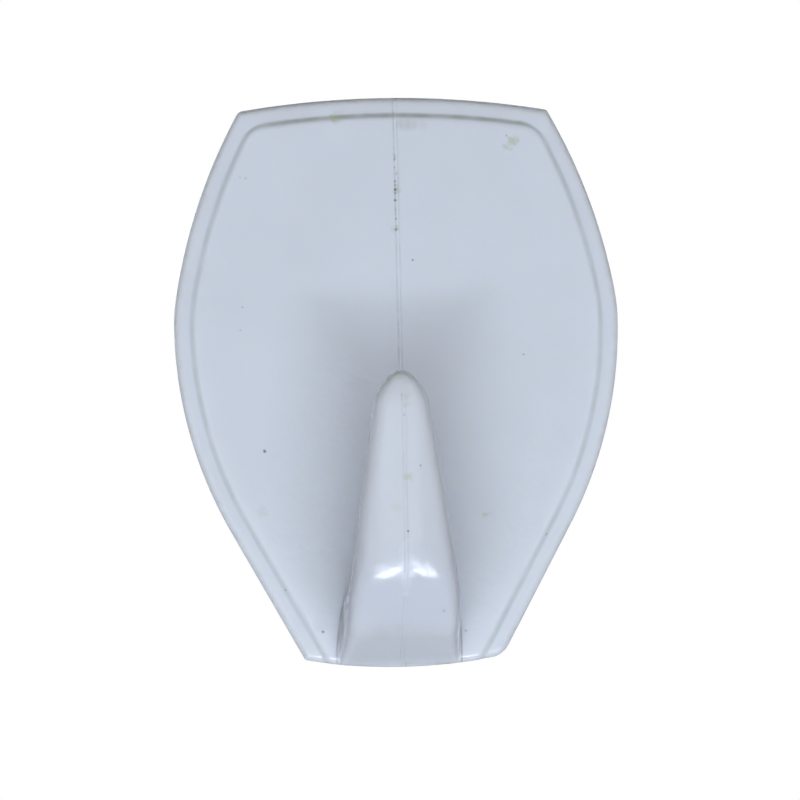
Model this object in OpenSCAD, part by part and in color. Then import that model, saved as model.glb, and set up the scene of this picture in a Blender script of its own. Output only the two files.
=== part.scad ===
// Adhesive wall hook: a one-piece plastic moulding, a shield-shaped plate with a
// raised field and a J-shaped prong, on a die-cut foam pad with two adhesive coats
// and a peel-off liner. Millimetres, +Z up, front towards -Y, wall plane at Y = 0.

/* [Plate] */
// Height of the plate on its centre line
plate_h = 64; // [58:0.5:72]
// Width of the plate at its widest point
plate_w = 50; // [46:0.5:56]
// Height of the widest point above the middle of the plate
widest_up = 6.6; // [3:0.2:9]
// Radius of the shoulder, from the waist up to the top corner
shoulder_r = 63; // [50:1:80]
// Radius of the short waist curve above the widest point
waist_r = 19; // [14:1:26]
// Angle that the waist curve turns through
waist_turn = 9.4; // [7:0.2:12]
// Radius of the curve below the widest point
lower_r = 48; // [40:1:56]
// Angle of the straight lower flank from the vertical
flank_angle = 28.7; // [25:0.1:31]
// Radius of the top edge
top_r = 105; // [80:1:140]
// Radius of the bottom edge
bottom_r = 62; // [50:1:90]
// Thickness of the plate between its raised field and the pad
wall_t = 2.1; // [1.6:0.1:3]
// Radius of the plate's front edge
edge_r = 0.8; // [0.4:0.1:1.2]
// Length of the rounding at the plate's four corners
plate_corner = 0.6; // [0.3:0.1:2]

/* [Raised field] */
// Width of the border beside and above the field
border_w = 1.9; // [1.4:0.1:2.6]
// Height of the field above the border
step_h = 0.45; // [0.2:0.05:0.7]
// Width of the field's rounded shoulder
step_w = 1.1; // [0.8:0.1:1.6]
// Length of the rounding at the field's two top corners
field_corner = 1.8; // [1:0.1:4]

/* [Prong] */
// Height of the prong's tip above the bottom edge of the plate
prong_rise = 33; // [28:0.5:38]
// Distance from the field to the front of the prong's tip
prong_reach = 14; // [12:0.5:17]
// Thickness of the prong at its ramp and bend
prong_t = 4.4; // [3.6:0.1:5.2]
// Thickness of the prong below its rounded tip
tip_t = 3.8; // [3:0.1:4.6]
// Width of the prong at the bottom edge of the plate
base_w = 14; // [11:0.5:17]
// Height of the stretch at the base that keeps the full width
base_straight = 2; // [0:0.5:4]
// Width of the prong below its rounded tip
tip_w = 6.2; // [4.5:0.1:8]
// Height of the rounded tip
tip_h = 3.6; // [2.5:0.1:5]
// Rise of the ramp that carries the prong out from the plate
ramp_angle = 27; // [20:1:34]
// Outward lean of the prong above its bend
lean = 3; // [0:0.5:6]
// Outer radius of the bend
bend_r = 12; // [10:0.5:13]
// Radius of the saddle between the plate and the ramp
saddle_r = 3; // [2:0.1:4]
// Radius of the prong's long edges
prong_edge_r = 1.7; // [1:0.1:1.8]

/* [Adhesive pad] */
// Width of the plate's rim around the pad's recess
rim_w = 2.4; // [1.8:0.1:3.5]
// Clearance between the rim and the pad
pad_gap = 0.4; // [0.2:0.1:0.8]
// Length of the rounding at the pad's corners
pad_corner = 4; // [2:0.5:6]
// Thickness of the foam core
foam_t = 1.6; // [1:0.1:2.5]
// Thickness of each adhesive coat
film_t = 0.1; // [0.05:0.01:0.2]
// How far the pad stands out of the recess, towards the wall
pad_proud = 0.5; // [0.3:0.1:0.8]
// Thickness of the release liner
liner_t = 0.1; // [0.06:0.01:0.2]
// Radius of the liner's finger tab
tab_r = 7; // [5:0.5:9]
// How far the tab reaches past the pad, over the top rim
tab_out = 2.2; // [1:0.1:2.6]

/* [Hidden] */

// Levels along the depth, counted from the wall plane towards the front
wall_coat_z = liner_t;
foam_z = wall_coat_z + film_t;
plate_coat_z = foam_z + foam_t;
recess_z = plate_coat_z + film_t;
rim_z = wall_coat_z + pad_proud;
field_z = recess_z + wall_t;
border_z = field_z - step_h;

top_y = plate_h / 2;
bottom_y = -plate_h / 2;
pad_inset = rim_w + pad_gap;

// Steps per arc of the outline, per short arc, per rounding and per stretch of the prong
arc_steps = 8;
waist_steps = 3;
round_steps = 6;
prong_steps = 7;
// Share of the last step by which the prong's tip is cut short, so that it ends in a face
tip_cut = 0.3;
// Largest share of a section's thickness that one of its corners takes
corner_share = 0.45;
// Depth by which joined stretches of the moulding run into each other
weld = wall_t / 2;

// Centres of the outline's arcs, on the right-hand side
waist_c = [plate_w / 2 - waist_r, widest_up];
shoulder_c = waist_c + (waist_r - shoulder_r) * [cos(waist_turn), sin(waist_turn)];
lower_c = [plate_w / 2 - lower_r, widest_up];
top_c = [0, top_y - top_r];
bottom_c = [0, bottom_y + bottom_r];

function on_arc(c, r, angle) = c + r * [cos(angle), sin(angle)];
function arc(c, r, from, to, n = arc_steps) =
    [for (i = [0:n]) on_arc(c, r, from + (to - from) * i / n)];
function heading(c, p) = atan2(p[1] - c[1], p[0] - c[0]);
function degrees(length, r) = length / r * 180 / PI;

// Right-hand crossing of two circles
function cross_circles(c1, r1, c2, r2) =
    let (gap = c2 - c1, d = norm(gap), u = gap / d, a = (r1 * r1 - r2 * r2 + d * d) / (2 * d))
    c1 + a * u + sqrt(r1 * r1 - a * a) * [u[1], -u[0]];

// Where a line that starts inside a circle leaves it
function leave_circle(p, dir, c, r) =
    let (b = (p - c) * dir)
    p + (-b + sqrt(b * b - (p - c) * (p - c) + r * r)) * dir;

// Corner drawn as a curve from a to b that is pulled towards the corner itself
function soft_corner(a, corner, b) =
    [for (i = [0:round_steps]) let (t = i / round_steps)
        (1 - t) * (1 - t) * a + 2 * t * (1 - t) * corner + t * t * b];

// Right half of the plate's outline, from the top centre down to the bottom centre,
// moved in by its own distance at the sides, at the top and at the bottom.
// The corners are rounded over round_top and round_bottom.
function half_outline(side, top, bottom, round_top, round_bottom) =
    let (
        top_corner = cross_circles(top_c, top_r - top, shoulder_c, shoulder_r - side),
        top_end = heading(top_c, top_corner) + degrees(round_top, top_r - top),
        shoulder_start = heading(shoulder_c, top_corner) - degrees(round_top, shoulder_r - side),
        flank_dir = [-sin(flank_angle), -cos(flank_angle)],
        flank_start = on_arc(lower_c, lower_r - side, -flank_angle),
        bottom_corner = leave_circle(flank_start, flank_dir, bottom_c, bottom_r - bottom),
        flank_end = bottom_corner - round_bottom * flank_dir,
        bottom_start = heading(bottom_c, bottom_corner) - degrees(round_bottom, bottom_r - bottom),
        shoulder = arc(shoulder_c, shoulder_r - side, shoulder_start, waist_turn),
        waist = arc(waist_c, waist_r - side, waist_turn, 0, waist_steps),
        lower = arc(lower_c, lower_r - side, 0, -flank_angle),
        along_top = arc(top_c, top_r - top, 90, top_end),
        along_bottom = arc(bottom_c, bottom_r - bottom, bottom_start, -90)
    )
    concat(
        along_top,
        [for (i = [1:round_steps - 1]) soft_corner(along_top[arc_steps], top_corner, shoulder[0])[i]],
        shoulder,
        [for (i = [1:waist_steps]) waist[i]],
        [for (i = [1:arc_steps]) lower[i]],
        [for (i = [0:round_steps - 1]) soft_corner(flank_end, bottom_corner, along_bottom[0])[i]],
        along_bottom
    );

function both_halves(half) =
    concat(half, [for (i = [len(half) - 2:-1:1]) [-half[i][0], half[i][1]]]);

function outline(side, top, bottom, round_top, round_bottom) =
    both_halves(half_outline(side, top, bottom, round_top, round_bottom));

// The plate lies on its back while it is drawn: x across, y up the plate, z to the front
module stand() rotate([90, 0, 0]) children();

function at_level(z, points) = [for (p = points) [p[0], p[1], z]];

// Solid through a row of closed sections that have the same number of points
module skin(rows) {
    n = len(rows[0]);
    last = len(rows) - 1;
    sides = [for (k = [0:last - 1]) for (j = [0:n - 1])
        let (a = k * n + j, b = k * n + (j + 1) % n) each [[a, a + n, b], [b, a + n, b + n]]];
    start = [for (j = [0:n - 1]) j];
    end = [for (j = [n - 1:-1:0]) last * n + j];
    polyhedron([for (row = rows) each row], concat([start], sides, [end]));
}

// Flat plate as high as the border, with its back edge eased and its front edge rounded
function plate_level(z, inset) = at_level(z, outline(inset, inset, inset, plate_corner, plate_corner));

module flange() {
    skin(concat(
        [for (i = [0:round_steps]) let (angle = 90 * i / round_steps)
            plate_level(border_z - edge_r * (1 - cos(angle)), edge_r * (1 - sin(angle)))],
        [plate_level(rim_z + edge_r / 2, 0), plate_level(rim_z, edge_r / 2)]));
}

// Raised field: its shoulder is an arc, and it rolls over the plate's bottom edge
shoulder_tilt = 2 * atan(step_h / step_w);
step_r = step_w / sin(shoulder_tilt);
roll_r = max(edge_r, step_h);

function field_level(drop, roll) =
    let (tilt = acos(max(1 - drop / step_r, cos(shoulder_tilt))),
        inset = border_w + step_w - step_r * sin(tilt))
    at_level(field_z - drop, outline(inset, inset, roll, field_corner, plate_corner));

module field() {
    skin(concat(
        [for (i = [0:round_steps]) let (angle = 90 * i / round_steps)
            field_level(roll_r * (1 - cos(angle)), roll_r * (1 - sin(angle)))],
        [field_level(roll_r + weld / 2, 0)]));
}

// Prong profile, as points of distance from the field and height: the outer line runs
// along the ramp, round the bend and up the front to the tip
ramp_dir = [cos(ramp_angle), sin(ramp_angle)];
ramp_up = [-sin(ramp_angle), cos(ramp_angle)];
face_dir = [sin(lean), cos(lean)];
face_in = [-cos(lean), sin(lean)];
ramp_start = [-edge_r, bottom_y];
bend_run = bend_r * [cos(lean) - sin(ramp_angle), cos(ramp_angle) - sin(lean)];
tip_y = bottom_y + prong_rise;
face_rise = prong_rise - tip_h * cos(lean) - tip_t / 2 * sin(lean) - bend_run[1];
ramp_length = (prong_reach - ramp_start[0] - bend_run[0] - face_rise * tan(lean))
    / (ramp_dir[0] - ramp_dir[1] * tan(lean));
bend_start = ramp_start + ramp_length * ramp_dir;
bend_c = bend_start + bend_r * ramp_up;
inner_r = bend_r - prong_t;
face_start = bend_start + bend_run;
face_length = (bottom_y + bend_run[1] + face_rise - face_start[1]) / cos(lean);

// Saddle: it touches the field at one end and the top of the ramp at the other
ramp_top = ramp_start + prong_t * ramp_up;
ramp_foot = ramp_top - ramp_top[0] / ramp_dir[0] * ramp_dir;
half_mouth = (90 - ramp_angle) / 2;
saddle_room = norm(bend_start + prong_t * ramp_up - ramp_foot);
saddle_fillet = min(saddle_r, saddle_room * tan(half_mouth));
saddle_c = [saddle_fillet, ramp_foot[1] + saddle_fillet / tan(half_mouth)];

// Half of the prong's width at a height
function half_width(y) =
    let (low = bottom_y + base_straight, high = tip_y - tip_h,
        share = min(max((y - low) / (high - low), 0), 1))
    base_w / 2 + (tip_w - base_w) / 2 * share;

// Closed section between an outer and an inner point of the profile, with rounded corners
function section(outer, inner, r, narrow = 1) =
    let (t = norm(inner - outer), e = min(r * narrow, corner_share * t))
    [for (q = [0:3]) for (s = [0:round_steps])
        let (
            angle = 90 * (q + s / round_steps),
            v = t / 2 + (q < 2 ? 1 : -1) * (t / 2 - e) + e * sin(angle),
            p = outer + (inner - outer) * v / t,
            flat = half_width(p[1]) * narrow - e
        )
        [(q == 0 || q == 3 ? 1 : -1) * flat + e * cos(angle), p[1], field_z + p[0]]];

function mix(a, b, share) = a + (b - a) * share;

function root_sections() =
    [for (i = [0:prong_steps - 1]) let (share = i / prong_steps)
        section(
            mix(ramp_start, bend_start, share),
            on_arc(saddle_c, saddle_fillet, 180 + (90 + ramp_angle) * share),
            mix(edge_r, prong_edge_r, share))];

function bend_sections() =
    [for (i = [0:prong_steps]) let (angle = ramp_angle - 90 + (90 - ramp_angle - lean) * i / prong_steps)
        section(on_arc(bend_c, bend_r, angle), on_arc(bend_c, inner_r, angle), prong_edge_r)];

function face_sections() =
    [for (i = [1:prong_steps]) let (p = face_start + face_length * i / prong_steps * face_dir)
        section(p, p + mix(prong_t, tip_t, i / prong_steps) * face_in, prong_edge_r)];

function tip_sections() =
    let (middle = face_start + face_length * face_dir + tip_t / 2 * face_in)
    [for (i = [1:prong_steps]) let (
            angle = 90 * (i == prong_steps ? prong_steps - tip_cut : i) / prong_steps,
            p = middle + tip_h * sin(angle) * face_dir,
            reach = tip_t / 2 * cos(angle) * face_in)
        section(p - reach, p + reach, prong_edge_r, cos(angle))];

module prong() {
    ring = root_sections()[0];
    sunk = [for (p = ring) [p[0], p[1], field_z - weld]];
    intersection() {
        skin(concat([sunk], root_sections(), bend_sections(), face_sections(), tip_sections()));
        linear_extrude(field_z + 2 * prong_reach) polygon(outline(0, 0, 0, plate_corner, plate_corner));
    }
}

// One moulding: plate, raised field and prong, with the pad's recess in its back
module hook_moulding() {
    color([0.80, 0.83, 0.89]) stand() difference() {
        union() {
            flange();
            field();
            prong();
        }
        linear_extrude(recess_z) polygon(outline(rim_w, rim_w, rim_w, pad_corner, pad_corner));
    }
}

// A layer of the pad, cut to the recess less its clearance
module pad_layer(z, thickness) {
    translate([0, 0, z]) linear_extrude(thickness)
        polygon(outline(pad_inset, pad_inset, pad_inset, pad_corner, pad_corner));
}

module plate_side_adhesive() {
    color([0.86, 0.84, 0.74]) stand() pad_layer(plate_coat_z, film_t);
}

module foam_core() {
    color([0.93, 0.93, 0.91]) stand() pad_layer(foam_z, foam_t);
}

module wall_side_adhesive() {
    color([0.86, 0.84, 0.74]) stand() pad_layer(wall_coat_z, film_t);
}

// Paper liner: the pad's outline with a round finger tab over the top rim
tab_c = [0, top_y - pad_inset + tab_out - tab_r];

function half_liner() =
    let (
        half = half_outline(pad_inset, pad_inset, pad_inset, pad_corner, pad_corner),
        edge = top_r - pad_inset,
        join = cross_circles(top_c, edge, tab_c, tab_r),
        tab = arc(tab_c, tab_r, 90, heading(tab_c, join)),
        along_top = arc(top_c, edge, heading(top_c, join), heading(top_c, half[arc_steps]))
    )
    concat(
        tab,
        [for (i = [1:arc_steps]) along_top[i]],
        [for (i = [arc_steps + 1:len(half) - 1]) half[i]]
    );

module release_liner() {
    color([0.86, 0.74, 0.48]) stand() linear_extrude(liner_t) polygon(both_halves(half_liner()));
}

hook_moulding();
plate_side_adhesive();
foam_core();
wall_side_adhesive();
release_liner();
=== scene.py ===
# %% [markdown]
# # An adhesive wall hook
# A small white hook that sticks to a wall: one plastic moulding, with a shield-shaped plate and a
# J-shaped prong, on a foam pad with adhesive on both faces and a paper liner to peel off.
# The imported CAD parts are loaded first. They are the frame: every piece below is worked out in the
# same place and at the same size, and only the finish and the fine forms are added.

import bpy
import numpy as np
from mathutils import Matrix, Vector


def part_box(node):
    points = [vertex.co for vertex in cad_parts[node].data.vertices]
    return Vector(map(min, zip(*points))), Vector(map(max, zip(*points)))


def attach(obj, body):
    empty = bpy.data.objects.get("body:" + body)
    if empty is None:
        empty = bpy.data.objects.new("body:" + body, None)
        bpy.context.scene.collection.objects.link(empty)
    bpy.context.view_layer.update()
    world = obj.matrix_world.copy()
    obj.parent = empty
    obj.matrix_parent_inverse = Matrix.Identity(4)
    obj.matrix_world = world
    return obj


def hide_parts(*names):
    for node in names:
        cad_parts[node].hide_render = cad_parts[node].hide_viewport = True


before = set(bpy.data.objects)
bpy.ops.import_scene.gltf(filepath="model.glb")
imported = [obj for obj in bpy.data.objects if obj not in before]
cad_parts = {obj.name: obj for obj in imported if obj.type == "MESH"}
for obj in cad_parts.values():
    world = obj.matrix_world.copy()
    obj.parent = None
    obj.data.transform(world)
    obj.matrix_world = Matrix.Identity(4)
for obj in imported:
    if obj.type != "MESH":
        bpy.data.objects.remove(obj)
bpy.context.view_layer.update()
print("CAD nodes:", sorted(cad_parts))

# %% [markdown]
# ## One drawing frame
# The plate is easiest to think of lying on its back, as a drawing: x across, y up the plate and z
# out from the wall, in millimetres. One function turns such points into the frame's metres, where
# up is Z and the front looks along -Y.

# %% From the drawing to the frame
MM = 0.001


def to_frame(points):
    """Drawing point (x, y, z) in millimetres to the frame's (x, -z, y) in metres."""
    p = np.asarray(points, float) * MM
    return np.stack([p[..., 0], -p[..., 2], p[..., 1]], axis=-1)


low_corner, high_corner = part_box("hook_moulding")
plate_w = (high_corner.x - low_corner.x) / MM
plate_h = (high_corner.z - low_corner.z) / MM
front_z = -low_corner.y / MM
rim_z = -high_corner.y / MM
recess_z = -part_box("plate_side_adhesive")[0].y / MM
print(f"plate {plate_w:.1f} x {plate_h:.1f} mm, front at {front_z:.1f}, rim at {rim_z:.2f}")

# %% [markdown]
# ## Camera
# The photograph looks almost straight at the plate, from slightly left, and is turned a little, so
# that the top of the plate leans to the left. A long lens from 40 cm keeps the prong, which is
# nearer than the plate, only slightly enlarged. The camera is three axes and a place: its right,
# its up and its back, turned by the roll.

# %% Camera
image_size = 800
focal_pixels = 3566.0
view_distance = 400.0
view_azimuth = np.radians(-3.0)
view_roll = np.radians(-1.35)
plate_t = 2.1
field_z = recess_z + plate_t
view_aim = np.array([0.12, -2.02, field_z])


def new_object(name, data):
    """New object that shows the data, linked into the scene."""
    thing = bpy.data.objects.new(name, data)
    bpy.context.scene.collection.objects.link(thing)
    return thing


def stand(thing, axes, place):
    """Puts a camera or lamp at a place in metres, turned so that axes are its right, up and back."""
    thing.matrix_world = Matrix([[*axes[:, i], place[i]] for i in range(3)] + [[0, 0, 0, 1]])


view_back = np.array([np.sin(view_azimuth), 0.0, np.cos(view_azimuth)])
level_right = np.array([np.cos(view_azimuth), 0.0, -np.sin(view_azimuth)])
level_up = np.array([0.0, 1.0, 0.0])
view_right = np.cos(view_roll) * level_right + np.sin(view_roll) * level_up
view_up = np.cos(view_roll) * level_up - np.sin(view_roll) * level_right

camera_data = bpy.data.cameras.new("camera")
camera_data.sensor_width = 36.0
camera_data.lens = focal_pixels * camera_data.sensor_width / image_size
camera_data.clip_start = 0.01
camera = new_object("camera", camera_data)
view_axes = to_frame(np.stack([view_right, view_up, view_back])) / MM
view_place = to_frame(view_aim + view_distance * view_back)
stand(camera, view_axes, view_place)
bpy.context.scene.camera = camera
print(f"camera: {camera_data.lens:.1f} mm lens at {np.round(view_place, 3)}")

# %% [markdown]
# ## The shield outline
# The plate's side is a chain of arcs that flow into each other: a long shoulder, a short waist at
# the widest point, a lower curve, and a straight flank down to the bottom corner. The top and the
# bottom edges are shallow arcs. Moving such a chain in by a distance is exact: each radius shrinks
# by that distance and the centres stay. So every line on the plate that runs beside the edge, such
# as the border's, comes from the same three functions.

# %% Outline functions
widest_up = 6.6
shoulder_r = 63.0
waist_r = 19.0
waist_turn = np.radians(9.4)
lower_r = 48.0
flank_angle = np.radians(28.7)
top_r = 105.0
bottom_r = 62.0
top_fall = 0.011

waist_c = np.array([plate_w / 2 - waist_r, widest_up])
shoulder_c = waist_c + (waist_r - shoulder_r) * np.array([np.cos(waist_turn), np.sin(waist_turn)])
lower_c = np.array([plate_w / 2 - lower_r, widest_up])
top_c_y = plate_h / 2 - top_r - top_r * top_fall**2 / 2
bottom_c_y = bottom_r - plate_h / 2


def on_circle(run, r):
    """Height of a circle of radius r over a point at that distance along its diameter."""
    return np.sqrt(np.maximum(r * r - run * run, 0.0))


def side_x(y, inset):
    """Half width at height y of the outline moved in: centre plus circle by stretch, then the flank."""
    shoulder = shoulder_c[0] + on_circle(y - shoulder_c[1], shoulder_r - inset)
    waist = waist_c[0] + on_circle(y - widest_up, waist_r - inset)
    lower = lower_c[0] + on_circle(y - widest_up, lower_r - inset)
    flank_x = lower_c[0] + (lower_r - inset) * np.cos(flank_angle)
    flank_y = widest_up - (lower_r - inset) * np.sin(flank_angle)
    flank = flank_x + (y - flank_y) * np.tan(flank_angle)
    shoulder_y = widest_up + (waist_r - inset) * np.sin(waist_turn)
    return np.select([y > shoulder_y, y > widest_up, y > flank_y], [shoulder, waist, lower], flank)


def top_y(x, inset):
    """Height of the top edge moved down: a circle on the centre line, less a slight fall to the right."""
    return top_c_y + on_circle(x, top_r - inset) - top_fall * x


def bottom_y(x, inset):
    """Height of the bottom edge moved up: a circle on the centre line."""
    return bottom_c_y - on_circle(x, bottom_r - inset)


print(f"half width {side_x(widest_up, 0):.2f} mm at the widest point")

# %% [markdown]
# ## A grid over the plate
# The plate's face is one grid of columns and rows. Near the edges a line of the grid follows the
# outline at a fixed inset, so that the rounded edge and the border's step lie along the lines and
# stay smooth. Between, the lines spread evenly, and a narrow band down the middle is kept for the
# mould's parting line.

# %% Grid lines
edge_r = 0.8
border_w = 1.8
step_h = 0.45
step_w = 0.9
band_w = 0.6
run_in = 5.0
bottom_in = 2.6
seam_x = 0.3
corner_rs = {"top": (0.3, 0.15), "bottom": (0.2, 0.9)}

roll_lines = edge_r * (1 - np.sin(np.linspace(np.pi / 2, 0, 9)))
step_lines = border_w + step_w * np.linspace(0, 1, 11)
edge_lines = np.concatenate([
    roll_lines, [1.0, 1.3, 1.6], step_lines, [3.2, 3.45, 3.75, 4.1, 4.5, run_in]])
low_lines = np.concatenate([roll_lines, [1.0, 1.3, 1.8, bottom_in]])
band_lines = np.array([0.04, 0.08, 0.11, 0.14, 0.17, 0.21, 0.28, 0.4, band_w])
band_lines = np.concatenate([-band_lines[::-1], [0.0], band_lines])
across = np.linspace(0, 1, 18)[1:-1]
upward = np.linspace(0, 1, 56)[1:-1]

row_low = np.concatenate([np.ones_like(low_lines), 1 - upward, np.zeros_like(edge_lines)])
row_inset = np.concatenate([low_lines, np.full_like(upward, bottom_in), edge_lines[::-1]])
row_top_inset = np.where(row_low > 0, run_in, row_inset)
row_bottom_inset = np.where(row_low > 0, row_inset, bottom_in)
half_weight = np.concatenate([np.ones_like(edge_lines), 1 - across])
half_inset = np.concatenate([edge_lines, np.full_like(across, run_in)])
column_left = np.concatenate([half_weight, np.zeros(len(band_lines) + len(half_weight))])
column_right = column_left[::-1]
column_band = 1 - column_left - column_right
column_inset = np.concatenate([half_inset, np.full_like(band_lines, run_in), half_inset[::-1]])
column_offset = np.concatenate([
    np.full_like(half_inset, -band_w), band_lines, np.full_like(half_inset, band_w)])
print(f"grid of {len(column_inset)} columns and {len(row_low)} rows")

# %% [markdown]
# At a corner a line beside the side meets a line beside the end. A square patch of such insets is drawn
# onto a quarter disc, which rounds the corner without a seam; the real plate's corners aren't equally
# round, so each has its own radius. Columns need the height and rows need the width of the outline, so
# the two are solved together by a few rounds of substitution.

# %% Grid points
solve_rounds = 14


def round_corner(a, b, r):
    """Inset a of a square corner drawn onto a quarter disc: p = 1 - a/r becomes p * sqrt(1 - q²/2)."""
    p = np.clip(1 - a / r, 0, 1)
    q = np.clip(1 - b / r, 0, 1)
    return np.where(p > 0, r * (1 - p * np.sqrt(1 - q * q / 2)), a)


def corner_distance(a, b, r):
    """Distance inside a corner of radius r: r less the way to its centre, elsewhere the smaller inset."""
    p = r - a
    q = r - b
    return np.where((p > 0) & (q > 0), r - np.hypot(p, q), np.minimum(a, b))


left_half = np.arange(len(column_inset)) < len(column_inset) / 2
low_half = np.arange(len(row_low)) < len(row_low) / 2
corner_r = np.where(
    low_half[:, None],
    np.where(left_half, *corner_rs["bottom"])[None, :],
    np.where(left_half, *corner_rs["top"])[None, :])


def plate_grid(inset=0.0, corner=corner_r):
    """x and y of the grid on the outline moved in: weighted edges and seam, solved in turn."""
    side, end = np.meshgrid(column_inset, np.minimum(row_top_inset, row_bottom_inset))
    a = round_corner(side, end, corner) + inset
    b_top = round_corner(row_top_inset[:, None], side, corner) + inset
    b_bottom = round_corner(row_bottom_inset[:, None], side, corner) + inset
    low = row_low[:, None]
    y = np.broadcast_to(plate_h / 2 * (1 - 2 * low), a.shape)
    for _ in range(solve_rounds):
        x = (column_right - column_left) * side_x(y, a) + column_band * (seam_x + column_offset)
        y = low * bottom_y(x, b_bottom) + (1 - low) * top_y(x, b_top)
    return x, y


plate_x, plate_y = plate_grid()
print(f"plate grid spans {np.ptp(plate_x):.2f} x {np.ptp(plate_y):.2f} mm")

# %% [markdown]
# ## The face of the plate
# Three forms add up to the height of the face. The border is flat. The field is raised above it,
# with a shoulder that rounds over and meets the border in a fine dark line; it has this shoulder at
# the sides and the top only, and runs out over the bottom edge. All round, the edge is rounded off.
# A low ridge, the flash of the mould's parting line, runs down the middle and ends before the root of
# the prong, which carries its own.

# %% Heights of the face
field_corners = (1.4, 1.5)
ridge_h = 0.08
ridge_half = 0.16
ridge_end = -24.0
ridge_run = 4.0
shoulder_power = 0.75


def ease(t):
    """Smooth rise from 0 to 1: 3t² - 2t³."""
    t = np.clip(t, 0, 1)
    return t * t * (3 - 2 * t)


def ridge(offset, half=ridge_half):
    """Height of the parting ridge: level in the middle, and down to nothing on both sides."""
    return ridge_h * (1 - ease((np.abs(offset) - 0.5 * half) / (0.8 * half)))


def edge_fall(distance):
    """Fall of the rounded edge: its radius less the height of a quarter circle."""
    return edge_r - on_circle(edge_r - np.minimum(distance, edge_r), edge_r)


def shoulder_fall(distance):
    """Fall of the field's shoulder: level at the border and on top, steepest near its foot."""
    return step_h * (1 - ease(np.clip(distance / step_w, 0, 1) ** shoulder_power))


side_in, top_in = np.meshgrid(column_inset, row_top_inset)
end_in = np.minimum(top_in, row_bottom_inset[:, None])
rounded_a = round_corner(side_in, end_in, corner_r)
rounded_b = round_corner(end_in, side_in, corner_r)
to_edge = corner_distance(rounded_a, rounded_b, corner_r)
field_corner_r = np.where(left_half, *field_corners)[None, :]
to_border = corner_distance(side_in - border_w, top_in - border_w, field_corner_r)
plate_z = field_z - shoulder_fall(to_border) - edge_fall(to_edge)
plate_z = plate_z + ridge(plate_x - seam_x) * ease((plate_y - ridge_end) / ridge_run)
print(f"face from {plate_z.min():.2f} to {plate_z.max():.2f} mm above the wall")

# %% [markdown]
# ## Side wall, rim and recess
# Behind the face a skirt of closed rings carries the outline down the side wall, round an eased back
# edge, across the rim and up into the recess that holds the foam pad. Each ring is the rim of the
# same grid, moved in by its own inset, so that ring and face have the same number of points.

# %% Plate mesh
rim_w = 2.4
ease_r = edge_r / 2
rim_break = 0.12
recess_fillet = 0.3
fillet_cut = 0.1


def grid_rim(values):
    """The border of a grid of values as one ring, anticlockwise as seen from the front."""
    return np.concatenate([values[0, :-1], values[:-1, -1], values[-1, :0:-1], values[:0:-1, 0]])


def grid_quads(index):
    """Four corners of each cell of a grid of vertex numbers, anticlockwise."""
    corners = [index[:-1, :-1], index[:-1, 1:], index[1:, 1:], index[1:, :-1]]
    return np.stack([c.ravel() for c in corners], axis=1)


def ring_quads(rings):
    """Four corners of each cell between closed rings of vertex numbers, each behind the one before."""
    after = np.roll(rings, -1, axis=1)
    corners = [rings[:-1], rings[1:], after[1:], after[:-1]]
    return np.stack([c.ravel() for c in corners], axis=1)


def outline_ring(inset, z, corner=corner_r):
    """One closed ring of points: the rim of the plate's grid moved in, at a level."""
    x, y = plate_grid(inset, corner)
    ring = np.stack([grid_rim(x), grid_rim(y)], axis=1)
    return np.column_stack([ring, np.full(len(ring), z)])


turns = np.linspace(0, np.pi / 2, 5)
back_corner_r = np.full_like(corner_r, 3.0)
back_levels = [(ease_r * (1 - np.cos(t)), rim_z + ease_r * (1 - np.sin(t)), corner_r) for t in turns]
back_levels += [
    (rim_w - rim_break, rim_z, back_corner_r),
    (rim_w, rim_z + rim_break, back_corner_r),
    (rim_w, recess_z - recess_fillet, back_corner_r),
    (rim_w + fillet_cut, recess_z - fillet_cut, back_corner_r),
    (rim_w + recess_fillet, recess_z, back_corner_r)]
back_rings = np.stack([outline_ring(*level) for level in back_levels])

face_points = np.stack([plate_x, plate_y, plate_z], axis=-1).reshape(-1, 3)
face_index = np.arange(len(face_points)).reshape(plate_x.shape)
ring_index = len(face_points) + np.arange(back_rings.shape[0] * back_rings.shape[1])
rings = np.vstack([grid_rim(face_index), ring_index.reshape(back_rings.shape[:2])])
plate_points = np.vstack([face_points, back_rings.reshape(-1, 3)])
plate_faces = grid_quads(face_index).tolist() + ring_quads(rings).tolist() + [rings[-1][::-1].tolist()]


def new_piece(name, points, faces):
    """Mesh object with its place in its mesh, from drawing points and faces, shaded smooth."""
    mesh = bpy.data.meshes.new(name)
    mesh.from_pydata(to_frame(points).tolist(), [], faces)
    mesh.polygons.foreach_set("use_smooth", np.ones(len(mesh.polygons), bool))
    mesh.update()
    return new_object(name, mesh)


plate = new_piece("plate", plate_points, plate_faces)
print(f"plate mesh: {len(plate.data.vertices)} points, {len(plate.data.polygons)} faces")

# %% [markdown]
# ## The prong
# The prong grows out of the plate's bottom edge as a ramp, turns up in a wide bend and ends in a
# rounded tip. Its side view is two lines, an outer and an inner one: a straight ramp, an arc, a straight
# rise that leans out a little, and a dome. Each pair of points on them carries one cross-section, a
# rectangle with rounded corners. The corners are small where the prong grows out of the plate and full
# above the bend. The ramp's sides have draft, the slight taper that lets a moulding leave its mould.

# %% Prong profile
prong_rise = 33.3
crown_spare = 0.16
prong_reach = front_z - field_z - crown_spare
prong_t = 4.4
tip_t = 3.8
base_w = 14.0
tip_w = 6.2
tip_h = 4.0
tip_share = 0.4
pole_gap = 0.02
dome_power = 2.6
taper_power = 0.6
ramp_angle = np.radians(27.0)
lean = np.radians(3.0)
bend_r = 12.0
saddle_r = 3.0
prong_edge_r = 1.6
crown_r = 14.0
root_back_r = 0.15
draft = 0.13
draft_limit = 0.75
saddle_sink = 0.03

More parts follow.
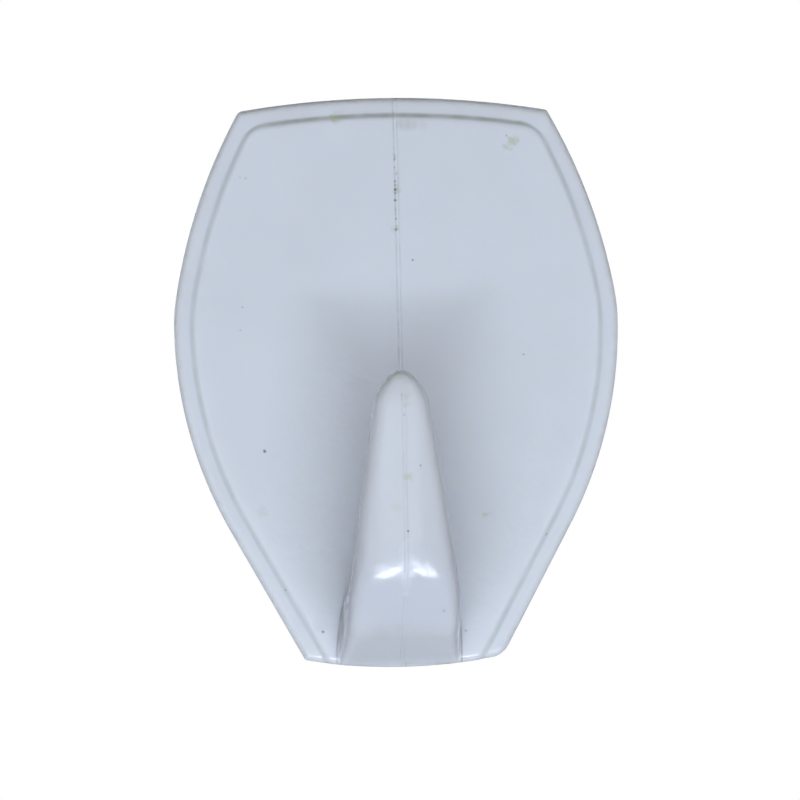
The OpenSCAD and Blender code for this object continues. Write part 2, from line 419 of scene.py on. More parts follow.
base_y = -plate_h / 2
ramp_dir = np.array([np.cos(ramp_angle), np.sin(ramp_angle)])
ramp_up = np.array([-np.sin(ramp_angle), np.cos(ramp_angle)])
face_dir = np.array([np.sin(lean), np.cos(lean)])
face_in = np.array([-np.cos(lean), np.sin(lean)])
ramp_start = np.array([-edge_r, base_y])
bend_run = bend_r * np.array([np.cos(lean) - np.sin(ramp_angle), np.cos(ramp_angle) - np.sin(lean)])
face_rise = prong_rise - tip_h * np.cos(lean) - tip_t / 2 * np.sin(lean) - bend_run[1]
ramp_length = (prong_reach - ramp_start[0] - bend_run[0] - face_rise * np.tan(lean)) / (
    ramp_dir[0] - ramp_dir[1] * np.tan(lean))
bend_start = ramp_start + ramp_length * ramp_dir
bend_c = bend_start + bend_r * ramp_up
face_start = bend_start + bend_run
face_length = (base_y + bend_run[1] + face_rise - face_start[1]) / np.cos(lean)
ramp_top = ramp_start + prong_t * ramp_up
ramp_foot = ramp_top - ramp_top[0] / ramp_dir[0] * ramp_dir
half_mouth = (np.pi / 2 - ramp_angle) / 2
saddle_c = np.array([saddle_r - saddle_sink, ramp_foot[1] + saddle_r / np.tan(half_mouth)])


def arc_points(centre, r, angles):
    """Points of an arc: the centre plus r times (cos, sin) of each angle."""
    return centre + r * np.stack([np.cos(angles), np.sin(angles)], axis=-1)


root = np.linspace(0, 1, 23)[:-1, None]
root_outer = ramp_start + root * (bend_start - ramp_start)
root_inner = arc_points(saddle_c, saddle_r, np.pi + (np.pi / 2 + ramp_angle) * root[:, 0])
bend = np.linspace(ramp_angle - np.pi / 2, -lean, 32)
bend_outer = arc_points(bend_c, bend_r, bend)
bend_inner = arc_points(bend_c, bend_r - prong_t, bend)
rise = np.linspace(0, 1, 31)[1:, None]
rise_outer = face_start + face_length * rise * face_dir
rise_inner = rise_outer + (prong_t + (tip_t - prong_t) * rise) * face_in
dome = np.sin(np.linspace(0, np.pi / 2 - pole_gap, 33))[1:, None]
dome_middle = face_start + face_length * face_dir + tip_t / 2 * face_in + tip_h * dome * face_dir
dome_reach = tip_t / 2 * (1 - dome**dome_power) ** (1 / dome_power) * face_in

outer = np.vstack([root_outer, bend_outer, rise_outer, dome_middle - dome_reach])
inner = np.vstack([root_inner, bend_inner, rise_inner, dome_middle + dome_reach])
below_tip = np.ones((len(root) + len(bend) + len(rise), 1))
narrow = np.concatenate([below_tip, (1 - dome**2) ** taper_power])
bend_share = ease(np.linspace(0, 1, len(bend)))[:, None]
upper = np.ones((len(rise) + len(dome), 1))
root_share = np.concatenate([root, 1 + 0 * bend_share, upper])
front_r = edge_r + (prong_edge_r - edge_r) * root_share
back_share = np.concatenate([0 * root, bend_share, upper])
back_r = root_back_r + (prong_edge_r - root_back_r) * back_share
drafted = np.concatenate([root**taper_power, 1 - bend_share, 0 * upper])
print(f"prong: {len(outer)} sections, tip at {outer[:, 1].max():.2f} mm")
print(f"prong reaches {outer[:, 0].max():.2f} mm out of the field")

# %% [markdown]
# A section is drawn as a walk round its rim: along the front to one corner, round it, along the
# side, round the next corner, along the back and home. Each step is a share of the flat stretch
# plus a turn of the corner's radius.

# %% Walk round a section
front_steps = np.concatenate([[0.0, 0.012, 0.024, 0.036, 0.05, 0.07], np.linspace(0.1, 1, 9)])
corner_turn = np.linspace(0, np.pi / 2, 14)[1:-1]
side_steps = np.linspace(-1, 1, 5)
back_steps = np.linspace(1, 0, 7)
ones = np.ones_like
half_walk = {
    "flat": [front_steps, ones(corner_turn), ones(side_steps), ones(corner_turn), back_steps],
    "out": [
        0 * front_steps, np.sin(corner_turn), ones(side_steps), np.cos(corner_turn), 0 * back_steps],
    "depth": [
        -ones(front_steps), -ones(corner_turn), side_steps, ones(corner_turn), ones(back_steps)],
    "turn": [
        -ones(front_steps), -np.cos(corner_turn), 0 * side_steps, np.sin(corner_turn), ones(back_steps)]}
walk = {name: np.concatenate(parts) for name, parts in half_walk.items()}
mirror = {"flat": -1, "out": -1, "depth": 1, "turn": 1}
walk = {name: np.concatenate([w, mirror[name] * w[-2:0:-1]]) for name, w in walk.items()}
print(f"section: {len(walk['flat'])} steps round its rim")

# %% [markdown]
# The widths come from a short list, read at each point's height, because the taper isn't even: the root
# flares and the tip closes. The whole prong stands a little left of the plate's middle. Its front is
# crowned, falling away on a large radius, and the parting ridge rides on it. The walk, scaled to each
# section and laid between the outer and the inner line, gives all the points at once. The first section
# is sunk into the plate, so that the two overlap.

# %% Prong mesh
width_heights = base_y + np.array([2.0, 5.0, 8.8, 13.7, 20.2, prong_rise - tip_h, prong_rise])
half_widths = np.array([base_w / 2, 6.78, 6.25, 5.4, 4.55, tip_w / 2, tip_share * tip_w])
middle_heights = base_y + np.array([2.0, 6.0, 12.0, 32.0])
middle_places = np.array([-0.62, -0.42, -0.34, -0.38])


def half_width(y):
    """Half of the prong's width at a height, read off a short list of heights and widths."""
    return np.interp(y, width_heights, half_widths)


def middle_x(y):
    """Middle of the prong at a height, read off a short list of heights and places."""
    return np.interp(y, middle_heights, middle_places)


seam_heights = [-30.9, -25.8, -19.3, -9.6, 1.0]
seam_places = [-0.36, -0.51, -0.22, -0.2, -0.2]
prong_ridge = 0.6
root_sink = 1.05
flush = 0.02
corner_share = 0.45
thick = np.linalg.norm(inner - outer, axis=1)[:, None]
corner = np.where(walk["depth"] < 0, front_r, back_r) * narrow
corner = np.minimum(corner, corner_share * thick)
back_corner = np.minimum(back_r * narrow, corner_share * thick)
at_side = (1 + walk["depth"]) / 2
depth = corner[:, :1] + at_side * (thick - corner[:, :1] - back_corner) + walk["turn"] * corner
side_draft = np.minimum(draft * thick, draft_limit) * drafted
front_half = half_width(outer[:, 1:]) * narrow - corner[:, :1] - side_draft
on_front = walk["turn"] == -1
across_front = walk["flat"] * front_half + walk["out"] * corner
depth = depth + back_share * (1 - at_side) * across_front**2 / (2 * crown_r)
depth = depth - on_front * narrow * prong_ridge * ridge(walk["flat"] * front_half)
share = depth / thick
prong_d = outer[:, :1] + (inner[:, :1] - outer[:, :1]) * share
prong_y = outer[:, 1:] + (inner[:, 1:] - outer[:, 1:]) * share
flat_half = half_width(prong_y) * narrow - corner - side_draft * (1 - np.clip(share, 0, 1))
seam_shift = (np.interp(prong_y, seam_heights, seam_places) - middle_x(prong_y)) * narrow
prong_x = walk["flat"] * flat_half + walk["out"] * corner
prong_x = prong_x + on_front * seam_shift * (1 - np.abs(walk["flat"]))
prong_points = np.stack([prong_x + middle_x(prong_y), prong_y, field_z + prong_d], axis=-1)
sunk = prong_points[:1].copy()
sunk[..., 2] = field_z - root_sink
prong_points = np.concatenate([sunk, prong_points])
prong_points[..., 1] = np.maximum(prong_points[..., 1], bottom_y(prong_points[..., 0], flush))

sections, steps = prong_points.shape[:2]
prong_index = np.arange(sections * steps).reshape(sections, steps)
prong_faces = ring_quads(prong_index)[:, ::-1].tolist()
prong_faces += [prong_index[0][::-1].tolist(), prong_index[-1].tolist()]
prong = new_piece("prong", prong_points.reshape(-1, 3), prong_faces)
print(f"prong mesh: {len(prong.data.vertices)} points, {len(prong.data.polygons)} faces")

# %% [markdown]
# ## One moulding
# Plate and prong are one shot of plastic, so their meshes are united into one closed skin, and the
# crease where they meet is kept sharp. The union could stay a live modifier, but the finish needs values
# on the points of the united skin, so the result becomes a mesh of its own.

# %% Unite plate and prong
crease_angle = np.radians(38)
joined = plate.modifiers.new("prong", "BOOLEAN")
joined.operation = "UNION"
joined.solver = "EXACT"
joined.object = prong
united = plate.evaluated_get(bpy.context.evaluated_depsgraph_get())
moulding_mesh = bpy.data.meshes.new_from_object(united)
moulding_mesh.name = "moulded_hook"
moulding_mesh.set_sharp_from_angle(angle=crease_angle)
moulding = new_object("moulded_hook", moulding_mesh)
bpy.data.objects.remove(plate)
bpy.data.objects.remove(prong)
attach(moulding, "hook")
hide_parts("hook_moulding")
print(f"moulding: {len(moulding_mesh.vertices)} points, {len(moulding_mesh.polygons)} faces")

# %% [markdown]
# ## The foam pad
# What holds the hook on the wall is a sheet of closed-cell foam, cut to the shape of the recess, with
# adhesive on both faces. It could be one flat slab, but a cut foam edge is never straight: it swells a
# little between the two coats, and the cells that the knife opened leave it pitted. The first step is
# one ring of its outline with evenly spaced points, and the outward direction at each.

# %% Even rings
pad_clear = 0.4
pad_inset = rim_w + pad_clear
pad_steps = 960
foam_low, foam_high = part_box("foam_core")


def even_ring(ring, count):
    """A closed ring with its points at even steps of its length, read off along the old one."""
    closed = np.vstack([ring, ring[:1]])
    run = np.concatenate([[0.0], np.cumsum(np.linalg.norm(np.diff(closed, axis=0), axis=1))])
    at = np.linspace(0, run[-1], count, endpoint=False)
    return np.stack([np.interp(at, run, column) for column in closed.T], axis=1)


def ring_outward(ring):
    """Outward direction along an anticlockwise ring: the way to the next point, turned to the right."""
    along = np.roll(ring, -1, axis=0) - np.roll(ring, 1, axis=0)
    out = np.stack([along[:, 1], -along[:, 0]], axis=1)
    return out / np.linalg.norm(out, axis=1, keepdims=True)


def ring_piece(name, points):
    """Closed piece from rings of points: the cells between the rings, and a cap on both ends."""
    index = np.arange(points[..., 0].size).reshape(points.shape[:2])
    faces = ring_quads(index).tolist() + [index[0].tolist(), index[-1][::-1].tolist()]
    return new_piece(name, points.reshape(-1, 3), faces)


pad_ring = even_ring(outline_ring(pad_inset, 0.0, back_corner_r)[:, :2], pad_steps)
pad_out = ring_outward(pad_ring)
print(f"pad outline {np.ptp(pad_ring[:, 0]):.1f} x {np.ptp(pad_ring[:, 1]):.1f} mm")

# %% [markdown]
# The ring is carried from the plate side to the wall side in a few levels, and every point moves out by
# a bulge, largest halfway, and by small seeded noise, smoothed over its neighbours.

# %% Foam pad
foam_bulge = 0.14
cell_depth = 0.035
foam_t = np.linspace(0, 1, 15)[:, None]
foam_z = (-foam_low.y + (foam_low.y - foam_high.y) * foam_t) / MM
cells = np.random.default_rng(11).normal(size=(len(foam_t), len(pad_ring)))
cells = (cells + np.roll(cells, 1, axis=1) + np.roll(cells, -1, axis=1)) / 3
swell = foam_bulge * 4 * foam_t * (1 - foam_t) + cell_depth * cells * np.sin(np.pi * foam_t)
foam_xy = pad_ring + swell[..., None] * pad_out
foam_points = np.concatenate([foam_xy, np.broadcast_to(foam_z[..., None], (*swell.shape, 1))], axis=-1)
foam_pad = ring_piece("foam_pad", foam_points)
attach(foam_pad, "hook")
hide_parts("foam_core")
print(f"foam pad: {len(foam_points)} rings, edge swells by up to {swell.max():.2f} mm")

# %% [markdown]
# ## The release liner
# A sheet of coated paper covers the wall-side adhesive until the hook is stuck up. It has the pad's
# outline plus a finger tab at the top, and it is the one piece that moves: it is pulled off the pad.
# Seen from the middle, each direction has one distance to the edge, the larger of the pad's and the
# tab's, eased where the two meet.

# %% Liner outline
tab_r = 7.0
tab_out = 2.2
tab_ease = 0.5
tab_middle = plate_h / 2 - pad_inset + tab_out - tab_r
liner_steps = 480
liner_turn = np.linspace(0, 2 * np.pi, liner_steps, endpoint=False)


def tab_reach(turn):
    """Distance along a ray to the far side of the tab's circle, and nothing where the ray misses it."""
    miss = tab_middle * np.cos(turn)
    return np.where(
        (np.abs(miss) < tab_r) & (np.sin(turn) > 0),
        tab_middle * np.sin(turn) + on_circle(miss, tab_r), 0.0)


pad_turn = np.arctan2(pad_ring[:, 1], pad_ring[:, 0])
pad_reach = np.interp(liner_turn, pad_turn, np.linalg.norm(pad_ring, axis=1), period=2 * np.pi)
apart = pad_reach - tab_reach(liner_turn)
liner_reach = pad_reach - apart / 2 + np.hypot(apart, tab_ease) / 2
up_reach = liner_reach[liner_steps // 4]
down_reach = liner_reach[3 * liner_steps // 4]
print(f"liner reaches {up_reach:.2f} mm up to its tab and {down_reach:.2f} mm down")

# %% [markdown]
# Rings of that outline, grown from the middle, make the face towards the plate, and shrunk again they
# make the face towards the wall. The tab isn't stuck down, so it curls a little towards the plate.

# %% Liner sheet
tab_curl = 0.32
liner_crease = np.radians(40)
curl_lead = 0.3
liner_low, liner_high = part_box("release_liner")
grow = np.linspace(0.03, 1, 34)
spread = np.concatenate([grow, grow[::-1]])[:, None]
liner_x = spread * liner_reach * np.cos(liner_turn)
liner_y = spread * liner_reach * np.sin(liner_turn)
faces_plate = np.concatenate([np.ones_like(grow), np.zeros_like(grow)])[:, None]
liner_z = -(liner_high.y + (liner_low.y - liner_high.y) * faces_plate) / MM
curl_from = pad_ring[:, 1].max() - curl_lead
liner_z = liner_z + tab_curl * np.clip((liner_y - curl_from) / (tab_out + curl_lead), 0, 1) ** 2
liner_points = np.stack([liner_x, liner_y, liner_z], axis=-1)
liner_sheet = ring_piece("liner_sheet", liner_points)
liner_sheet.data.set_sharp_from_angle(angle=liner_crease)
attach(liner_sheet, "liner")
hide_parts("release_liner")
print(f"liner: {np.ptp(liner_x):.1f} x {np.ptp(liner_y):.1f} mm, its tab curls by {tab_curl} mm")

# %% [markdown]
# ## Nodes in words
# Every finish below is a small net of shader nodes. One helper adds a node and wires its inputs. The
# others do arithmetic, draw one range onto another, lay a colour over a colour where a mask says so, and
# make noise, scattered cells and relief.

# %% Node helpers


def add_node(tree, kind, inputs=None, **settings):
    """New shader node with its settings, each input set to a value or linked to a socket."""
    node = tree.nodes.new("ShaderNode" + kind)
    for name, value in settings.items():
        setattr(node, name, value)
    for name, value in (inputs or {}).items():
        if isinstance(value, bpy.types.NodeSocket):
            tree.links.new(value, node.inputs[name])
        else:
            node.inputs[name].default_value = value
    return node


def maths(tree, operation, a, b=0.5):
    """One number from two, by a named operation."""
    return add_node(tree, "Math", {0: a, 1: b}, operation=operation).outputs[0]


def vectors(tree, operation, a, b):
    """One vector, or one distance, from two vectors, by a named operation."""
    output = "Value" if operation == "DISTANCE" else "Vector"
    return add_node(tree, "VectorMath", {0: a, 1: b}, operation=operation).outputs[output]


def total(tree, first, *others):
    """Numbers added up one after the other."""
    for other in others:
        first = maths(tree, "ADD", first, other)
    return first


def product(tree, first, *others):
    """Masks multiplied one after the other: 1 only where all of them are 1."""
    for other in others:
        first = maths(tree, "MULTIPLY", first, other)
    return first


def remap(tree, value, low, high, to_low=0.0, to_high=1.0):
    """A number between low and high drawn onto another range, and held at its ends."""
    ends = {"Value": value, "From Min": low, "From Max": high, "To Min": to_low, "To Max": to_high}
    return add_node(tree, "MapRange", ends).outputs["Result"]


def band(tree, value, middle, half):
    """1 where a value is at the middle of a band, and nothing from half a width away."""
    off = maths(tree, "ABSOLUTE", maths(tree, "SUBTRACT", value, middle))
    return remap(tree, off, half, 0.3 * half)


def lay_over(tree, mask, under, over):
    """Colour under, turned into colour over where the mask is 1."""
    return add_node(tree, "Mix", {0: mask, 6: under, 7: over}, data_type="RGBA").outputs[2]


def noise(tree, place, scale, detail=2.0, roughness=0.5, output="Fac"):
    """Smooth noise about 0.5, with its grain at 1 / scale of the place's unit."""
    inputs = {"Vector": place, "Scale": scale, "Detail": detail, "Roughness": roughness}
    return add_node(tree, "TexNoise", inputs).outputs[output]


def scatter(tree, place, scale):
    """Distance to the nearest of many scattered points, as from the middle of a cell to its wall."""
    return add_node(tree, "TexVoronoi", {"Vector": place, "Scale": scale}).outputs["Distance"]


def stretched(tree, place, turn, scale):
    """A place turned in the plane of the plate and scaled along its axes, for grain with a direction."""
    inputs = {"Vector": place, "Rotation": (0, turn, 0), "Scale": scale}
    return add_node(tree, "Mapping", inputs).outputs[0]


def relief(tree, height, strength, depth):
    """Normal of a surface that a height map raises by up to a depth in metres."""
    return add_node(tree, "Bump", {"Strength": strength, "Distance": depth, "Height": height}).outputs[0]


def new_finish(name):
    """Empty procedural material, its tree, and the object's place in millimetres."""
    finish = bpy.data.materials.new(name)
    finish.use_nodes = True
    tree = finish.node_tree
    place = add_node(tree, "TexCoord").outputs["Object"]
    return finish, tree, vectors(tree, "MULTIPLY", place, (1 / MM, 1 / MM, 1 / MM))


def dress(piece, finish, colour, roughness, normal):
    """Wires a colour, a roughness and a normal into a finish, and gives a piece that one finish."""
    tree = finish.node_tree
    shader = tree.nodes["Principled BSDF"]
    tree.links.new(colour, shader.inputs["Base Color"])
    tree.links.new(roughness, shader.inputs["Roughness"])
    tree.links.new(normal, shader.inputs["Normal"])
    piece.data.materials.clear()
    piece.data.materials.append(finish)


print(f"materials that came with the frame: {len(bpy.data.materials)}")

# %% [markdown]
# ## Where the plate is painted darker
# The finish darkens the foot of the step round the field, both sides of the parting ridge, the prong's
# root and the rounded outer edge: painted shade in these creases and on the edge, with grime at the step
# and dirt along the ridge. The material has to know how far each point is from these lines, so four
# distances are worked out for all the points of the moulding at once and kept on the mesh as attributes.

# %% Distances on the moulding
places = np.empty(3 * len(moulding_mesh.vertices))
moulding_mesh.vertices.foreach_get("co", places)
at_x, at_depth, at_y = places.reshape(-1, 3).T / MM
probe = 0.1
prong_clear = 0.6
side_slope = (side_x(at_y + probe, 0) - side_x(at_y - probe, 0)) / (2 * probe)
from_side = (side_x(at_y, 0) - np.abs(at_x)) / np.sqrt(1 + side_slope**2)
from_top = top_y(at_x, 0) - at_y
from_bottom = at_y - bottom_y(at_x, 0)
on_prong = -at_depth > field_z + prong_clear
seam_at = np.where(on_prong, np.interp(at_y, seam_heights, seam_places), seam_x)
distances = {
    "step_inset": corner_distance(
        from_side - border_w, from_top - border_w, np.where(at_x < 0, *field_corners)),
    "edge_inset": np.minimum(np.minimum(from_side, from_top), from_bottom),
    "seam_offset": at_x - seam_at,
    "root_offset": np.abs(at_x - middle_x(at_y)) - half_width(at_y)}
for name, values in distances.items():
    stored = moulding_mesh.attributes.new(name, "FLOAT", "POINT")
    stored.data.foreach_set("value", values.astype(np.float32))
    print(f"{name}: {values.min():.2f} to {values.max():.2f} mm")

# %% [markdown]
# ## White plastic
# The moulding is a hard plastic with a cool white pigment and a semi-gloss skin. The white is slightly
# cloudy, and it is painted darker towards the bottom, which is painted shade. One flat colour would look
# like a new part, so each later cell lays one more mark over it: dirt, wear and painted shade.

# %% Plastic colour
plastic, tree, in_mm = new_finish("white_plastic")
cool_white = (0.79, 0.832, 0.895, 1)
cloud_and_shade_white = (0.765, 0.80, 0.85, 1)
axis_mm = add_node(tree, "SeparateXYZ", {0: in_mm}).outputs
depth_mm = axis_mm["Y"]
height_mm = axis_mm["Z"]
in_front = remap(tree, depth_mm, -2.0, -2.6)
clouds = noise(tree, in_mm, 0.09, 2.0, 0.6)
cloudy = remap(tree, clouds, 0.38, 0.66, 0.0, 0.6)
# painted shade: darker towards the bottom, added to the random cloudy tone
cloud_and_low_shade = total(tree, cloudy, remap(tree, height_mm, 2.0, -28.0))
colour = lay_over(tree, cloud_and_low_shade, cool_white, cloud_and_shade_white)
print(f"plastic: cloudy white, {len(tree.nodes)} nodes")

# %% [markdown]
# The step's foot is painted darker in patches: painted shade in the crease, with a greenish grime tint,
# strongest under the top edge, whose step faces up, away from the lamps below. The rounded outer edge is
# painted grey in patches, painted shade. Both read a distance that is kept on the mesh.

# %% Painted shade and grime in the step, painted shade on the edge
step_grime_and_shade = (0.48, 0.52, 0.46, 1)
rub_and_edge_shade_grey = (0.60, 0.61, 0.60, 1)


def stored_distance(tree, name):
    """Distance kept on the mesh under a name, in millimetres."""
    return add_node(tree, "Attribute", attribute_name=name).outputs["Fac"]


# painted shade with a greenish grime tint: the step's foot darkened, most under the top edge
step_foot = band(tree, stored_distance(tree, "step_inset"), 0.22, 0.4)
patchy = remap(tree, noise(tree, in_mm, 0.3, 2.0, 0.6), 0.34, 0.62, 0.35, 0.72)
under_top = remap(tree, height_mm, 26.6, 28.8, 0.4, 1.0)
colour = lay_over(tree, product(tree, step_foot, patchy, under_top), colour, step_grime_and_shade)
# painted shade: the rounded outer edge darkened in patches
darkened = remap(tree, stored_distance(tree, "edge_inset"), 0.9, 0.1)
edge_shade_patches = remap(tree, noise(tree, in_mm, 1.1, 2.0, 0.7), 0.5, 0.68, 0.0, 0.35)
colour = lay_over(tree, product(tree, darkened, edge_shade_patches), colour, rub_and_edge_shade_grey)
print(f"plastic: dirt in the step and a rubbed edge, {len(tree.nodes)} nodes")

# %% [markdown]
# The prong stands out towards the lamps and catches more of their light than the plate, so it is painted
# a little darker and warmer: painted shade. Its underside is painted greyer still, less so at the very
# bottom, and the narrow corner at its root is painted darker: painted shade in both.

# %% Painted shade on the prong
prong_shade_white = (0.715, 0.74, 0.77, 1)
underside_shade_grey = (0.59, 0.62, 0.70, 1)
root_shade_grey = (0.40, 0.41, 0.40, 1)
prong_mask = remap(tree, depth_mm, -4.3, -5.5)
# painted shade: the whole prong a little darker and warmer than the plate
colour = lay_over(tree, product(tree, prong_mask, 0.85), colour, prong_shade_white)
# painted shade: the underside greyer, less so at the very bottom
underside = product(tree, prong_mask, remap(tree, height_mm, -17.0, -21.0))
underside_shade = remap(tree, clouds, 0.3, 0.6, 0.3, 0.42)
underside_shade = product(tree, underside_shade, underside, remap(tree, height_mm, -25.0, -28.0, 1.0, 0.4))
colour = lay_over(tree, underside_shade, colour, underside_shade_grey)
# painted shade: the corner where the prong's side meets the plate darkened
root_shade = band(tree, stored_distance(tree, "root_offset"), 0.02, 0.16)
at_root = product(tree, remap(tree, height_mm, -24.2, -25.4), remap(tree, depth_mm, -4.5, -4.1))
root_shade = product(tree, root_shade, at_root, in_front, patchy)
colour = lay_over(tree, root_shade, colour, root_shade_grey)
print(f"plastic: handled prong and dirt at its root, {len(tree.nodes)} nodes")

# %% [markdown]
# A cloth slides over the parting ridge and leaves what lies beside it. Both sides of the seam are
# painted grey, mostly the left one: that dirt mixed with painted shade at the foot of the ridge. Near the
# top it thickens into a smear and breaks up into dark dots. The dots are the cells of a scatter, cut off
# to the left of the seam.

# %% Dirt and painted shade along the seam
seam_dirt_and_shade_grey = (0.42, 0.44, 0.44, 1)
soot = (0.16, 0.17, 0.15, 1)
from_seam = stored_distance(tree, "seam_offset")
seam_side = maths(tree, "ABSOLUTE", from_seam)
left_more = remap(tree, from_seam, -0.1, 0.1, 1.0, 0.55)
# painted shade at the ridge's foot, mixed with dirt: both sides of the seam greyed
beside_seam = product(tree, band(tree, seam_side, 0.19, 0.14), in_front, left_more)
seam_runs = remap(tree, noise(tree, in_mm, 0.5, 3.0, 0.7), 0.36, 0.64, 0.08, 0.42)
seam_runs = product(tree, seam_runs, remap(tree, depth_mm, -9.0, -4.4, 0.18, 1.0))
seam_smear = product(tree, band(tree, height_mm, 21.6, 2.4), 0.5)
seam_shade = product(tree, maths(tree, "MAXIMUM", seam_runs, seam_smear), beside_seam)
colour = lay_over(tree, seam_shade, colour, seam_dirt_and_shade_grey)
upper_run = band(tree, height_mm, 21.2, 6.5)
tip_run = product(tree, band(tree, height_mm, -1.2, 2.6), 0.3)
dots = remap(tree, scatter(tree, in_mm, 1.15), 0.42, 0.22)
dots = product(tree, dots, maths(tree, "MAXIMUM", upper_run, tip_run), in_front)
on_left = product(tree, remap(tree, from_seam, 0.16, -0.05), remap(tree, seam_side, 0.36, 0.2))
colour = lay_over(tree, product(tree, dots, on_left, 0.75), colour, soot)
print("seam: shaded on both sides, dotted near the top and at the tip")

# %% [markdown]
# Single marks are listed, as on a condition report: where they are on the face, how wide they
# are and how strong. Each row becomes a round mask, and noise shakes its outline, so that no two marks
# look alike. The prong has lists of its own: a mask goes straight through from the front, and its marks
# would otherwise show on the plate behind it too.

# %% Stains and specks
stain_yellow = (0.60, 0.65, 0.53, 1)
stains = [
    (-6.6, 29.75, 0.55, 0.8), (-6.2, 29.75, 0.9, 0.4), (13.5, 26.8, 0.7, 0.8), (12.9, 26.2, 0.55, 0.6),
    (9.5, -15.2, 0.6, 0.7), (-15.6, -14.2, 0.65, 0.3), (0.45, 21.5, 0.5, 0.7), (0.0, 17.1, 0.5, 0.4)]
prong_stains = [
    (-0.75, 1.15, 0.6, 0.35), (-1.7, 0.1, 0.6, 0.3), (0.5, 0.9, 0.5, 0.25), (0.0, -2.5, 0.5, 0.35),
    (0.2, -10.3, 0.65, 0.7), (-1.2, -13.6, 0.9, 0.22), (0.1, -1.6, 0.5, 0.5)]
rubs = [
    (1.0, 28.85, 0.8, 0.55), (1.7, 28.8, 0.85, 0.55), (2.4, 28.85, 0.8, 0.4), (3.4, 28.8, 0.9, 0.2),
    (-2.9, -27.5, 1.5, 0.22), (-1.0, -27.1, 0.9, 0.25)]
specks = [
    (1.9, 13.6, 0.17, 0.8), (-15.2, -7.4, 0.24, 0.95), (-9.1, -27.8, 0.2, 0.8), (6.9, -28.1, 0.18, 0.45),
    (-17.3, 8.8, 0.16, 0.4), (-17.6, 6.2, 0.15, 0.35), (14.1, 2.8, 0.15, 0.5), (-13.2, -23.0, 0.16, 0.4),
    (16.3, -17.5, 0.18, 0.4), (12.8, 27.4, 0.2, 0.35), (-16.6, 23.2, 0.2, 0.2), (-17.2, 23.3, 0.16, 0.22),
    (0.13, 25.0, 0.18, 0.5), (0.1, 24.1, 0.13, 0.4), (0.13, 22.5, 0.18, 0.6), (0.13, 22.1, 0.16, 0.65),
    (0.14, 21.6, 0.24, 0.9), (0.16, 21.2, 0.18, 0.7), (0.12, 20.4, 0.22, 0.75), (0.15, 19.3, 0.12, 0.4),
    (0.12, 18.3, 0.16, 0.5), (0.14, 17.1, 0.24, 0.6)]
prong_specks = [
    (0.0, -16.3, 0.2, 0.7), (3.9, -25.2, 0.25, 0.3), (1.5, -9.2, 0.17, 0.4), (-0.4, -1.9, 0.12, 0.3),
    (-0.2, -3.6, 0.14, 0.3)]
shake = noise(tree, in_mm, 1.6, 2.0, 0.6, output="Color")
shake = vectors(tree, "SUBTRACT", shake, (0.5, 0.5, 0.5))


def marks(tree, place, shake, rows, wobble):
    """Largest of round masks, one for each row of x, y, radius and strength, seen from the front.

    The place is moved by the shake times the wobble, and flattened by leaving out its depth.
    """
    shaken = vectors(tree, "MULTIPLY", shake, (wobble, wobble, wobble))
    flat = vectors(tree, "MULTIPLY", vectors(tree, "ADD", place, shaken), (1, 0, 1))
    found = None
    for x, y, radius, strength in rows:
        off = vectors(tree, "DISTANCE", flat, (x, 0, y))
        spot = remap(tree, off, radius, 0.25 * radius, 0.0, strength)
        found = spot if found is None else maths(tree, "MAXIMUM", found, spot)
    return found


stained = product(tree, marks(tree, in_mm, shake, stains, 1.6), in_front)
prong_stained = product(tree, marks(tree, in_mm, shake, prong_stains, 1.4), prong_mask)
stained = maths(tree, "MAXIMUM", stained, prong_stained)
rubbed_spots = product(tree, marks(tree, in_mm, shake, rubs, 0.5), in_front)
specked = product(tree, marks(tree, in_mm, shake, specks, 0.25), in_front)
prong_specked = product(tree, marks(tree, in_mm, shake, prong_specks, 0.25), prong_mask)
specked = maths(tree, "MAXIMUM", specked, prong_specked)
colour = lay_over(tree, stained, colour, stain_yellow)
colour = lay_over(tree, rubbed_spots, colour, rub_and_edge_shade_grey)
colour = lay_over(tree, specked, colour, soot)
print(f"marks on the plate: {len(stains)} stains, {len(specks)} specks, {len(rubs)} rubs")
print(f"marks on the prong: {len(prong_stains)} stains, {len(prong_specks)} specks")

# %% [markdown]
# Up close the skin isn't a mirror. It has the slow waves of the polished mould, finer ripples and pores,
# and on the bend of the prong the slanting scratches of many straps. They add up to one height that
# tilts the normal. The bend is also unevenly dull, most of all beside the seam, which breaks the
# highlight in two. Light goes a few millimetres into such a plastic and comes out beside, which softens
# every shade on it: that is the shader's subsurface part.

# %% Plastic skin
waves = noise(tree, in_mm, 0.55, 1.0, 0.5)
ripples = product(tree, noise(tree, in_mm, 1.7, 1.0, 0.5), 0.35)
pores = product(tree, noise(tree, in_mm, 7.0, 0.0, 0.5), 0.06)
slanted = stretched(tree, in_mm, 0.6, (5.0, 1.0, 0.35))
bend_zone = product(tree, prong_mask, band(tree, height_mm, -20.0, 5.0))
scratches = product(tree, remap(tree, noise(tree, slanted, 1.3, 1.0, 0.6), 0.6, 0.7), bend_zone)
skin = total(tree, waves, ripples, pores, product(tree, scratches, -0.16))
gloss = remap(tree, noise(tree, in_mm, 2.2, 1.0, 0.6), 0.3, 0.7, 0.1, 0.17)
dull = remap(tree, noise(tree, in_mm, 0.75, 3.0, 0.7), 0.45, 0.62, 0.0, 0.1)
dull = product(tree, total(tree, dull, remap(tree, seam_side, 1.0, 0.3, 0.0, 0.2)), bend_zone)
gloss = total(tree, gloss, dull, product(tree, scratches, 0.08), product(tree, stained, 0.15))
plastic_shader = tree.nodes["Principled BSDF"]
plastic_shader.inputs["Subsurface Weight"].default_value = 1.0
plastic_shader.inputs["Subsurface Radius"].default_value = (1.0, 0.95, 0.9)
plastic_shader.inputs["Subsurface Scale"].default_value = 0.003
